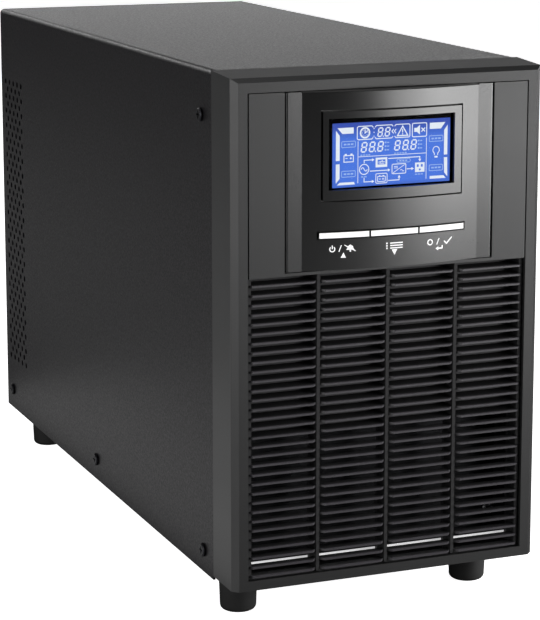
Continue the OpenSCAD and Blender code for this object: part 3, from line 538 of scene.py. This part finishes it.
# ---------------------------------------------------------------- flat marks
class Ink:
    """Marks drawn as thin closed prisms on a surface. place(x, z, lift) gives the row position."""

    def __init__(self, place, lift, thick):
        self.place, self.lift, self.thick = place, lift, thick
        self.bm = bmesh.new()

    def fill(self, points):
        rings = []
        for lift in (self.lift, self.lift + self.thick):
            rings.append([self.bm.verts.new(self.place(x, z, lift)) for x, z in points])
        low, high = rings
        area = sum(a[0] * b[1] - b[0] * a[1] for a, b in zip(points, points[1:] + points[:1]))
        if area < 0:
            low.reverse()
            high.reverse()
        self.bm.faces.new(high)
        self.bm.faces.new(low[::-1])
        n = len(low)
        for i in range(n):
            j = (i + 1) % n
            self.bm.faces.new((low[i], low[j], high[j], high[i]))

    def stroke(self, points, width, closed=False):
        """A polyline of even width, mitred at its bends."""
        n = len(points)
        left, right = [], []
        for i, (x, z) in enumerate(points):
            before = points[i - 1] if (i or closed) else None
            after = points[(i + 1) % n] if (i < n - 1 or closed) else None
            ways = []
            for a, b in ((before, (x, z)), ((x, z), after)):
                if a and b:
                    d = math.hypot(b[0] - a[0], b[1] - a[1])
                    ways.append(((b[0] - a[0]) / d, (b[1] - a[1]) / d))
            tx, tz = sum(w[0] for w in ways), sum(w[1] for w in ways)
            d = math.hypot(tx, tz) or 1.0
            tx, tz = tx / d, tz / d
            reach = width / 2 / max(0.35, abs(tx * ways[0][0] + tz * ways[0][1]))
            left.append((x - tz * reach, z + tx * reach))
            right.append((x + tz * reach, z - tx * reach))
        for i in range(n if closed else n - 1):
            j = (i + 1) % n
            self.fill([right[i], right[j], left[j], left[i]])

    def box(self, x0, x1, z0, z1, width, corner=0.6):
        self.stroke(rounded(x0, x1, z0, z1, corner), width, True)

    def pad(self, x0, x1, z0, z1, corner=0.4):
        self.fill(rounded(x0, x1, z0, z1, corner))

    def ring(self, cx, cz, r, width, start=0.0, stop=360.0, steps=28):
        whole = stop - start >= 359.9
        count = steps if whole else steps + 1
        pts = [(cx + r * math.cos(math.radians(start + (stop - start) * i / steps)),
                cz + r * math.sin(math.radians(start + (stop - start) * i / steps))) for i in range(count)]
        self.stroke(pts, width, whole)

    def disc(self, cx, cz, r, steps=20):
        self.fill([(cx + r * math.cos(2 * math.pi * i / steps), cz + r * math.sin(2 * math.pi * i / steps))
                   for i in range(steps)])

    def arrow(self, points, width, head):
        """A line with a solid head at its last point."""
        (x0, z0), (x1, z1) = points[-2:]
        d = math.hypot(x1 - x0, z1 - z0)
        ux, uz = (x1 - x0) / d, (z1 - z0) / d
        neck = (x1 - ux * head * 1.1, z1 - uz * head * 1.1)
        self.stroke(points[:-1] + [neck], width)
        self.fill([(x1, z1), (neck[0] - uz * head * 0.62, neck[1] + ux * head * 0.62),
                   (neck[0] + uz * head * 0.62, neck[1] - ux * head * 0.62)])

    def digit(self, x, z, w, h, t, slant):
        """Seven bevelled segments; x, z is the lower left corner."""
        g = t * 0.16
        mid = z + h / 2

        def lean(points):
            return [(px + (pz - z) * slant, pz) for px, pz in points]

        def across(zc):
            a, b = x + t / 2 + g, x + w - t / 2 - g
            return lean([(a, zc), (a + t / 2, zc - t / 2), (b - t / 2, zc - t / 2), (b, zc),
                         (b - t / 2, zc + t / 2), (a + t / 2, zc + t / 2)])

        def upright(xc, lo, hi):
            a, b = lo + g, hi - g
            return lean([(xc, a), (xc + t / 2, a + t / 2), (xc + t / 2, b - t / 2), (xc, b),
                         (xc - t / 2, b - t / 2), (xc - t / 2, a + t / 2)])

        top, low = z + h - t / 2, z + t / 2
        near, far = x + t / 2, x + w - t / 2
        for shape in (across(top), upright(far, mid, top), upright(far, low, mid), across(low),
                      upright(near, low, mid), upright(near, mid, top), across(mid)):
            self.fill(shape)

    def done(self, name, material):
        mesh = bpy.data.meshes.new(name)
        bmesh.ops.recalc_face_normals(self.bm, faces=self.bm.faces)
        self.bm.to_mesh(mesh)
        self.bm.free()
        obj = bpy.data.objects.new(name, mesh)
        bpy.context.scene.collection.objects.link(obj)
        mesh.materials.append(material)
        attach(obj, "root")


def rounded(x0, x1, z0, z1, corner, steps=3):
    pts = []
    for cx, cz, start in ((x1 - corner, z1 - corner, 0), (x0 + corner, z1 - corner, 90),
                          (x0 + corner, z0 + corner, 180), (x1 - corner, z0 + corner, 270)):
        for i in range(steps + 1):
            a = math.radians(start + 90 * i / steps)
            pts.append((cx + corner * math.cos(a), cz + corner * math.sin(a)))
    return pts


# ---------------------------------------------------------------- display
PANEL_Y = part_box("lcd_panel")[0].y


def on_panel(x, z, lift):
    p = at(x, 0, z)
    return Vector((p.x, PANEL_Y - lift * MM, p.z))


FIELD = (-35.6, 36.6, 229.2, 265.2)  # lit field: x range, z range, mm
field = Ink(on_panel, 0.004, 0.012)
field.pad(*FIELD, corner=0.3)
field.done("display_field", lit_display("display_blue", (0.045, 0.085, 0.42), (0.075, 0.19, 0.74), 1.0))

marks = Ink(on_panel, 0.020, 0.012)
# corner bars of the load and battery gauges
for shape in (
    [(-32.6, 262.6), (-22.8, 262.6), (-22.8, 259.2), (-29.6, 259.2)],
    [(-33.5, 261.2), (-31.2, 258.2), (-31.2, 244.3), (-33.5, 244.3)],
    [(-33.5, 242.4), (-31.2, 242.4), (-31.2, 234.2), (-33.5, 231.6)],
    [(-32.8, 230.6), (-21.9, 230.6), (-22.4, 232.0), (-31.2, 232.0)],
    [(23.9, 262.8), (33.6, 262.8), (30.9, 259.3), (23.9, 259.3)],
    [(35.0, 261.2), (35.0, 244.3), (32.9, 244.3), (32.9, 258.4)],
    [(35.0, 242.8), (35.2, 231.8), (33.2, 234.2), (32.9, 242.8)],
    [(24.2, 231.0), (34.2, 231.0), (32.8, 232.6), (24.2, 232.6)],
):
    marks.fill(shape)
# boxes along the top
marks.stroke([(-10.9, 262.0), (-11.8, 262.9), (-20.0, 262.9), (-20.6, 262.3), (-20.6, 256.1), (-20.0, 255.5),
              (-11.8, 255.5), (-10.9, 256.4)], 0.5)
marks.stroke([(-9.8, 262.0), (-9.0, 262.9), (0.4, 262.9), (1.2, 262.0)], 0.5)
marks.stroke([(-9.8, 256.4), (-9.0, 255.5), (0.4, 255.5), (1.2, 256.4)], 0.5)
marks.stroke([(2.2, 262.0), (3.0, 262.9), (11.0, 262.9), (11.6, 262.3), (11.6, 256.1), (11.0, 255.5),
              (3.0, 255.5), (2.2, 256.4)], 0.5)
marks.box(13.1, 22.0, 255.4, 263.0, 0.5, 0.7)
for z in (257.0, 259.2, 261.4):
    marks.disc(-10.4, z, 0.32, 10)
# clock
marks.ring(-15.9, 259.2, 2.75, 0.9)
marks.stroke([(-15.9, 261.2), (-15.9, 259.1), (-14.3, 260.2)], 0.55)
for a in range(0, 360, 45):
    c, s = math.cos(math.radians(a)), math.sin(math.radians(a))
    marks.disc(-15.9 + 1.75 * c, 259.2 + 1.75 * s, 0.26, 8)
# small figures and chevrons
marks.digit(-8.6, 256.4, 3.2, 5.4, 0.72, 0.17)
marks.digit(-4.2, 256.4, 3.2, 5.4, 0.72, 0.17)
marks.disc(-4.7, 256.7, 0.35, 10)
for x in (0.5, 2.0):
    marks.stroke([(x + 1.1, 260.4), (x, 259.2), (x + 1.1, 258.0)], 0.5)
# triangle
marks.stroke([(7.1, 261.8), (10.3, 256.5), (3.9, 256.5)], 0.62, True)
marks.pad(6.8, 7.4, 258.2, 260.2, 0.2)
marks.disc(7.1, 257.4, 0.36, 10)
# loudspeaker and cross
marks.fill([(14.3, 258.1), (15.9, 258.1), (17.8, 256.5), (17.8, 262.0), (15.9, 260.4), (14.3, 260.4)])
marks.stroke([(18.7, 260.3), (21.0, 258.1)], 0.6)
marks.stroke([(18.7, 258.1), (21.0, 260.3)], 0.6)
# large figures
for x in (-18.7, -13.8, -8.7, 1.7, 6.7, 11.7):
    marks.digit(x, 248.1, 3.6, 6.0, 0.80, 0.17)
for x in (-9.5, 10.9):
    marks.disc(x, 248.45, 0.4, 10)
# rules and the block diagram
marks.stroke([(-20.1, 245.9), (21.9, 245.9)], 0.34)
marks.stroke([(-20.1, 231.2), (-20.1, 254.6)], 0.34)
marks.stroke([(21.9, 231.2), (21.9, 254.6)], 0.34)
marks.ring(-16.3, 238.7, 2.85, 0.5)
marks.stroke([(-18.2 + 0.35 * i, 238.7 + 1.05 * math.sin(i * 0.57)) for i in range(12)], 0.42)
marks.arrow([(-16.3, 242.2), (-16.3, 243.8), (-10.0, 243.8)], 0.48, 1.4)
marks.arrow([(-16.3, 234.0), (-16.3, 231.6), (-10.0, 231.6)], 0.48, 1.4)
marks.arrow([(-12.8, 237.5), (-0.2, 237.5)], 0.5, 1.4)
marks.arrow([(9.9, 237.5), (14.3, 237.5)], 0.5, 1.4)
marks.arrow([(-1.5, 244.0), (17.9, 244.0), (17.9, 241.2)], 0.5, 1.4)
marks.arrow([(-1.5, 231.6), (5.2, 231.6), (5.2, 234.4)], 0.5, 1.4)
marks.box(-9.1, -2.2, 230.4, 235.8, 0.42)
marks.box(-8.0, -3.3, 231.3, 234.2, 0.42, 0.3)
marks.pad(-7.2, -6.3, 234.2, 234.8, 0.1)
marks.pad(-5.0, -4.1, 234.2, 234.8, 0.1)
marks.stroke([(-7.2, 232.7), (-6.0, 232.7)], 0.36)
marks.stroke([(-5.3, 232.7), (-4.1, 232.7)], 0.36)
marks.stroke([(-4.7, 232.1), (-4.7, 233.3)], 0.36)
marks.box(0.8, 9.3, 235.2, 240.6, 0.45)
marks.stroke([(1.5, 235.7), (8.6, 240.1)], 0.34)
marks.stroke([(2.0, 239.3), (4.4, 239.3)], 0.36)
marks.stroke([(2.0, 238.4), (4.4, 238.4)], 0.36)
marks.stroke([(5.9 + 0.25 * i, 236.9 + 0.5 * math.sin(i * 0.66)) for i in range(10)], 0.34)
# battery and lamp
marks.stroke([(-28.6, 247.0), (-28.6, 243.4), (-22.9, 243.4), (-22.9, 247.0)], 0.5, True)
marks.pad(-28.2, -26.9, 247.2, 248.0, 0.2)
marks.pad(-24.7, -23.4, 247.2, 248.0, 0.2)
marks.stroke([(-27.7, 245.4), (-26.4, 245.4)], 0.4)
marks.stroke([(-25.1, 245.4), (-23.8, 245.4)], 0.4)
marks.stroke([(-24.45, 244.75), (-24.45, 246.05)], 0.4)
marks.ring(28.0, 247.2, 2.0, 0.45, -60, 240)
marks.stroke([(26.95, 245.6), (26.95, 244.3)], 0.45)
marks.stroke([(29.05, 245.6), (29.05, 244.3)], 0.45)
marks.pad(27.0, 29.0, 242.9, 243.9, 0.4)
# solid blocks of the diagram, with their symbols left out of the fill
for x0, x1, z0, z1 in ((-9.3, -2.2, 243.7, 244.8), (-9.3, -2.2, 239.4, 240.9), (-9.3, -8.1, 240.9, 243.7),
                       (-3.3, -2.2, 240.9, 243.7), (15.0, 20.9, 235.3, 236.2), (15.0, 20.9, 239.7, 240.7),
                       (15.0, 16.1, 236.2, 239.7), (19.8, 20.9, 236.2, 239.7), (17.3, 18.6, 238.0, 239.7),
                       (16.1, 17.4, 236.2, 238.2), (18.5, 19.8, 236.2, 238.2), (17.4, 18.5, 237.2, 238.2)):
    marks.pad(x0, x1, z0, z1, 0.08)
marks.stroke([(-7.6, 242.3), (-6.2, 242.3), (-4.9, 243.2)], 0.42)
marks.stroke([(-4.9, 242.3), (-3.6, 242.3)], 0.42)
marks.disc(-6.2, 242.3, 0.4, 10)
marks.disc(-4.9, 242.3, 0.4, 10)
marks.stroke([(-7.4, 241.4), (-3.9, 241.4)], 0.3)
marks.done("display_segments", lit_mark("segment_white", (0.86, 0.92, 1.0), 0.95))

faint = Ink(on_panel, 0.020, 0.012)
for x0, x1, z0, z1 in ((-30.0, -21.7, 251.6, 254.9), (-30.0, -21.7, 235.0, 238.3),
                       (23.7, 32.2, 252.2, 255.4), (23.8, 32.2, 235.6, 238.9)):
    faint.box(x0, x1, z0, z1, 0.42, 0.5)
    for i in range(3):
        faint.pad(x0 + 1.3 + 2.1 * i, x0 + 2.9 + 2.1 * i, (z0 + z1) / 2 - 0.45, (z0 + z1) / 2 + 0.45, 0.15)
faint.box(3.8, 12.0, 241.4, 243.3, 0.36, 0.8)
for i in range(3):
    faint.pad(5.3 + 1.8 * i, 6.5 + 1.8 * i, 241.95, 242.75, 0.12)
for x in (-3.8, 16.6):
    for z in (248.5, 250.6, 252.7):
        faint.pad(x, x + 1.0, z, z + 0.95, 0.15)
        faint.pad(x + 1.35, x + 2.7, z + 0.1, z + 0.7, 0.15)
for x0, x1, z in ((-18.6, -12.2, 246.7), (2.0, 10.2, 246.7), (-18.2, -14.2, 234.5), (15.0, 20.4, 234.1)):
    count = max(2, int((x1 - x0) / 1.6))
    step = (x1 - x0) / count
    for i in range(count):
        faint.pad(x0 + step * i, x0 + step * (i + 0.72), z - 0.3, z + 0.35, 0.12)
faint.done("display_faint_segments", lit_mark("segment_faint", (0.38, 0.55, 0.95), 0.9))


# ---------------------------------------------------------------- marks under the keys
def on_bow(x, z, lift):
    a = math.asin(max(-1.0, min(1.0, x / BOW_R)))
    r = BOW_R + lift
    return at(r * math.sin(a), BOW_R - BOW_RISE - r * math.cos(a), z)


ink = Ink(on_bow, -0.02, 0.045)
ink.fill([(-32.0, 190.4), (-28.9, 190.4), (-30.4, 193.4)])
ink.fill([(-1.6, 193.4), (0.1, 190.2), (1.8, 193.4)])
ink.fill([(26.2, 191.7), (28.0, 192.8), (28.0, 190.6)])
ink.stroke([(27.8, 191.7), (30.6, 191.7), (30.6, 193.3)], 0.75)
# power, stroke, bell with a bar through it
ink.ring(-36.8, 195.5, 1.45, 0.62, 130, 410, 20)
ink.stroke([(-36.8, 195.6), (-36.8, 197.6)], 0.62)
ink.stroke([(-33.0, 193.9), (-31.6, 197.5)], 0.55)
ink.fill([(-28.9, 194.7), (-23.9, 194.7), (-24.6, 195.6), (-24.9, 196.8), (-26.4, 197.7), (-27.9, 196.8),
          (-28.2, 195.6)])
ink.disc(-26.4, 194.1, 0.55, 10)
ink.stroke([(-29.8, 197.5), (-23.2, 193.9)], 0.5)
# list with pointers
for i in range(3):
    ink.stroke([(-2.6 + 1.3 * k, 194.2 + 1.4 * i) for k in range(7)], 0.66)
    ink.disc(-4.6, 194.2 + 1.4 * i, 0.52, 10)
# ring, stroke, tick
ink.ring(22.6, 195.6, 1.5, 0.62)
ink.stroke([(27.0, 193.9), (28.4, 197.5)], 0.55)
ink.stroke([(31.8, 195.7), (33.4, 194.1), (37.0, 197.5)], 0.72)
ink.done("key_pictograms", printed_ink("ink_white", (0.90, 0.90, 0.90)))


# ---------------------------------------------------------------- camera
CAMERA = {"px": 2305.0, "yaw": 21.951, "pitch": 10.422, "shift": -0.12,
          "spot": (-538.7, -1155.8, 434.4)}
SENSOR, LONG_SIDE = 36.0, 620
cam = bpy.data.objects.new("camera", bpy.data.cameras.new("camera"))
bpy.context.scene.collection.objects.link(cam)
cam.data.sensor_width = SENSOR
cam.data.lens = CAMERA["px"] / LONG_SIDE * SENSOR
cam.data.shift_y = CAMERA["shift"]
cam.location = at(*CAMERA["spot"])
cam.rotation_euler = (math.radians(90 - CAMERA["pitch"]), 0.0, math.radians(-CAMERA["yaw"]))
cam.data.clip_start, cam.data.clip_end = 0.05, 60.0
bpy.context.scene.camera = cam

# ---------------------------------------------------------------- stage and light
scene = bpy.context.scene
scene.view_settings.view_transform = "Standard"
scene.view_settings.look = "None"


def lamp(name, spot, aim, width, height, watts):
    data = bpy.data.lights.new(name, "AREA")
    data.shape = "RECTANGLE"
    data.size, data.size_y = width, height
    data.energy = watts
    obj = bpy.data.objects.new(name, data)
    scene.collection.objects.link(obj)
    obj.location = spot
    obj.rotation_euler = (Vector(aim) - Vector(spot)).to_track_quat("-Z", "Y").to_euler()
    obj.visible_camera = False


CENTRE = (0.0, 0.0, 0.16)
STUDIO_DARK = (0.025, 0.025, 0.026, 1.0)
WHITE = (1.0, 1.0, 1.0, 1.0)
FLOOR_REACH = 14.0
FLOOR_GLOW = 0.97                # makes the floor plain white to the camera
LEFT_CARD_X = (-0.30, -0.10)     # the floor lights the case left of this
FRONT_CARD_Y = (-0.70, -1.00)    # and in front of this; in between it is dark
lamp("back_low", (0.6, 2.6, 0.56), (0.0, 0.2, 0.32), 2.4, 0.4, 9.6)
lamp("bend", (-0.30, 1.6, 0.95), (0.0, 0.2, 0.3), 0.6, 0.4, 3.2)
lamp("right_mid", (1.0, -1.30, 0.3), CENTRE, 0.5, 0.6, 3.8)
lamp("right_far", (1.6, -0.75, 0.5), CENTRE, 0.9, 1.1, 38.0)
lamp("front_low", (0.7, -1.4, 0.35), CENTRE, 0.6, 0.5, 2.3)
lamp("front_right", (0.95, -1.35, 0.14), CENTRE, 0.9, 0.24, 4.2)
lamp("left_fill", (-1.5, -0.6, 0.5), CENTRE, 0.8, 1.0, 15.0)
lamp("left_floor", (-0.7, 0.3, 0.9), (-0.35, 0.15, 0.0), 0.4, 0.6, 1.1)
lamp("left_low", (-0.175, 0.02, 0.012), (-0.175, 0.021, 1.0), 0.13, 0.62, 0.14)
lamp("overhead", (0.1, 0.5, 2.0), (0.0, 0.1, 0.3), 1.2, 1.2, 4.5)
lamp("right_back", (1.5, 0.9, 0.5), CENTRE, 0.8, 0.8, 6.0)

world = bpy.data.worlds.new("studio")
scene.world = world
world.use_nodes = True
wt = world.node_tree
sky = wt.nodes["Background"]
seen = wt.nodes.new("ShaderNodeBackground")
seen.inputs[0].default_value = WHITE
sky.inputs[0].default_value = STUDIO_DARK
path = wt.nodes.new("ShaderNodeLightPath")
pick = wt.nodes.new("ShaderNodeMixShader")
wt.links.new(path.outputs["Is Camera Ray"], pick.inputs[0])
wt.links.new(sky.outputs[0], pick.inputs[1])
wt.links.new(seen.outputs[0], pick.inputs[2])
wt.links.new(pick.outputs[0], wt.nodes["World Output"].inputs["Surface"])

floor_mesh = bpy.data.meshes.new("floor")
corners = [(a * FLOOR_REACH, b * FLOOR_REACH, 0) for a, b in ((-1, -1), (1, -1), (1, 1), (-1, 1))]
floor_mesh.from_pydata(corners, [], [(0, 1, 2, 3)])
floor = bpy.data.objects.new("floor", floor_mesh)
scene.collection.objects.link(floor)
fm, ft, fs = new_material("floor_white")
fs.inputs["Roughness"].default_value = 0.8
fs.inputs["Specular IOR Level"].default_value = 0.1
fpath = ft.nodes.new("ShaderNodeLightPath")
mottle = noise(ft, coords(ft), 3.0, 2.0)
pale = blend(ft, mottle, (0.88, 0.88, 0.88), (0.92, 0.92, 0.92))
place = axes(ft, coords(ft))
side_card = span(ft, place["X"], *LEFT_CARD_X, 1.0, 0.0)
front_card = span(ft, place["Y"], *FRONT_CARD_Y, 0.0, 1.0)
card = reckon(ft, "MAXIMUM", side_card, front_card)
bounce = blend(ft, card, (0.08, 0.08, 0.08), (0.70, 0.70, 0.70))
to_camera = fpath.outputs["Is Camera Ray"]
ft.links.new(blend(ft, to_camera, bounce, pale), fs.inputs["Base Color"])
fs.inputs["Emission Color"].default_value = WHITE
ft.links.new(reckon(ft, "MULTIPLY", to_camera, FLOOR_GLOW), fs.inputs["Emission Strength"])
floor_mesh.materials.append(fm)
